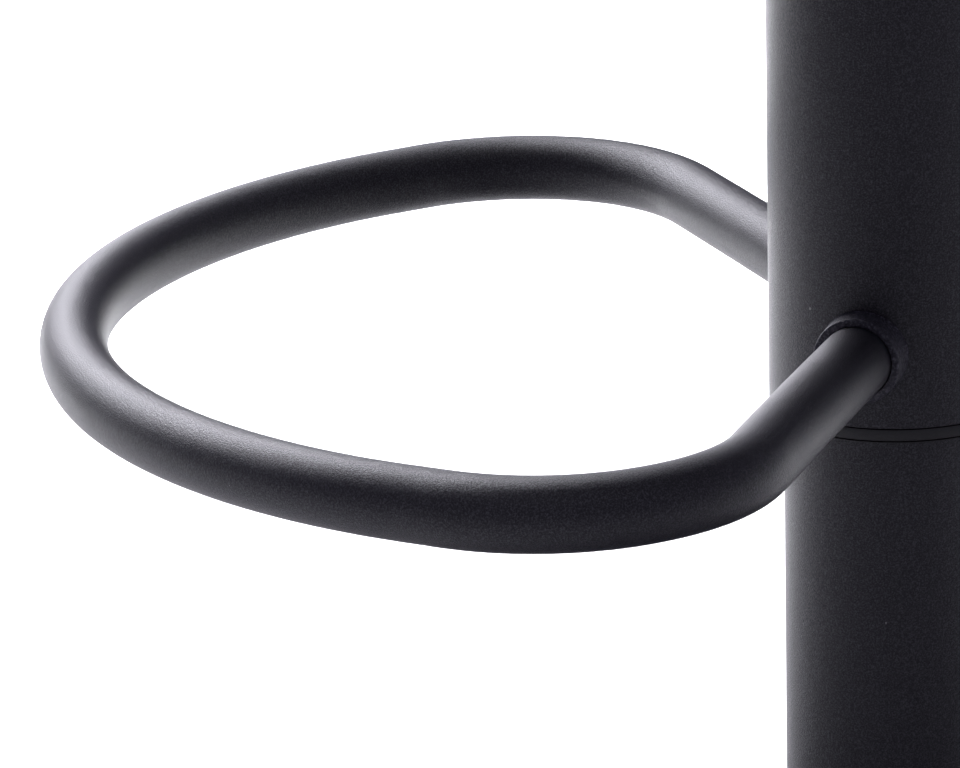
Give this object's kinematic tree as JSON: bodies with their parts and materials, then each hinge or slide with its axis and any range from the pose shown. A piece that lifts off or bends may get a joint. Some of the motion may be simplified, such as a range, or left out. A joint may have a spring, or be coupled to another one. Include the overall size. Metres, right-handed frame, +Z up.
{
  "type": "bar stool with footrest",
  "caption": "Swivelling gas-lift bar stool: padded seat, sleeve with a looped tube footrest over a lower column, and a flared round base.",
  "frame": {"origin": "on the floor under the middle of the column, seat at its lowest", "axes": "+Z up along the column, the footrest reaches forward along -Y, the sitter's right hand is towards -X"},
  "size_m": [0.45, 0.4545, 0.64],
  "materials": {
    "powder_coat": "satin, fine sand texture",
    "black_nylon": "fine moulded grain",
    "white_nylon": "satin",
    "black_rubber": "matte",
    "bright_steel": "ground",
    "zinc_plate": "zinc plated, satin",
    "dark_steel": "dip painted, semi-matte",
    "plywood": "sanded birch plywood",
    "faux_leather": "soft, fine pebble grain",
    "dust_cloth": "non-woven, matte",
    "foam": "open-cell polyurethane foam"
  },
  "bodies": {
    "base": {"base_cover": "powder_coat", "base_floor_ring": "black_rubber", "base_neck_ring": "black_nylon", "base_plate": "dark_steel", "base_socket": "dark_steel", "lift_guide_bush": "black_nylon", "lift_outer_tube": "dark_steel", "lower_column": "powder_coat", "lower_column_bush": "white_nylon", "thrust_washer_lower": "bright_steel"},
    "piston": {"piston_rod": "bright_steel", "piston_head": "bright_steel", "piston_seal": "black_rubber", "piston_nut": "zinc_plate", "rod_clip": "zinc_plate", "thrust_bearing": "bright_steel", "thrust_washer_upper": "bright_steel", "bump_stop": "black_rubber"},
    "upper": {"cap_screw_1": "zinc_plate", "cap_screw_2": "zinc_plate", "cap_screw_3": "zinc_plate", "cylinder_gland": "black_nylon", "footrest_collar_left": "powder_coat", "footrest_collar_right": "powder_coat", "footrest_loop": "powder_coat", "lever_bracket": "zinc_plate", "lever_pivot_pin": "zinc_plate", "pressure_cylinder": "dark_steel", "seat_board": "plywood", "seat_cover": "faux_leather", "seat_dust_cloth": "dust_cloth", "seat_foam": "foam", "seat_pan": "powder_coat", "seat_screw_1": "zinc_plate", "seat_screw_2": "zinc_plate", "seat_screw_3": "zinc_plate", "seat_screw_4": "zinc_plate", "seat_taper_hub": "dark_steel", "seat_washer_1": "zinc_plate", "seat_washer_2": "zinc_plate", "seat_washer_3": "zinc_plate", "seat_washer_4": "zinc_plate", "sleeve_guide_ring": "black_nylon", "sleeve_top_cap": "black_nylon", "tee_nut_1": "zinc_plate", "tee_nut_2": "zinc_plate", "tee_nut_3": "zinc_plate", "tee_nut_4": "zinc_plate", "upper_sleeve": "powder_coat"},
    "lever": {"lever_block": "zinc_plate", "lever_rod": "powder_coat", "lever_knob": "black_nylon"},
    "valve_pin": {"valve_pin": "bright_steel"}
  },
  "joints": [
    {"name": "swivel", "type": "hinge", "parent": "base", "child": "piston", "pos_m": [0, 0, 0.03], "axis": [0, 0, 1], "continuous": true},
    {"name": "seat_height", "type": "slide", "parent": "piston", "child": "upper", "axis": [0, 0, 1], "range_m": [0, 0.21]},
    {"name": "lever", "type": "hinge", "parent": "upper", "child": "lever", "pos_m": [-0.0215, 0, 0.53], "axis": [0, 1, 0], "range_deg": [0, 8], "stiffness_Nm_per_rad": 2},
    {"name": "valve", "type": "slide", "parent": "upper", "child": "valve_pin", "axis": [0, 0, -1], "range_m": [0, 0.0031]}
  ],
  "couplings": [
    {"joint": "valve", "follows": "lever", "m_per_rad": 0.0222}
  ]
}
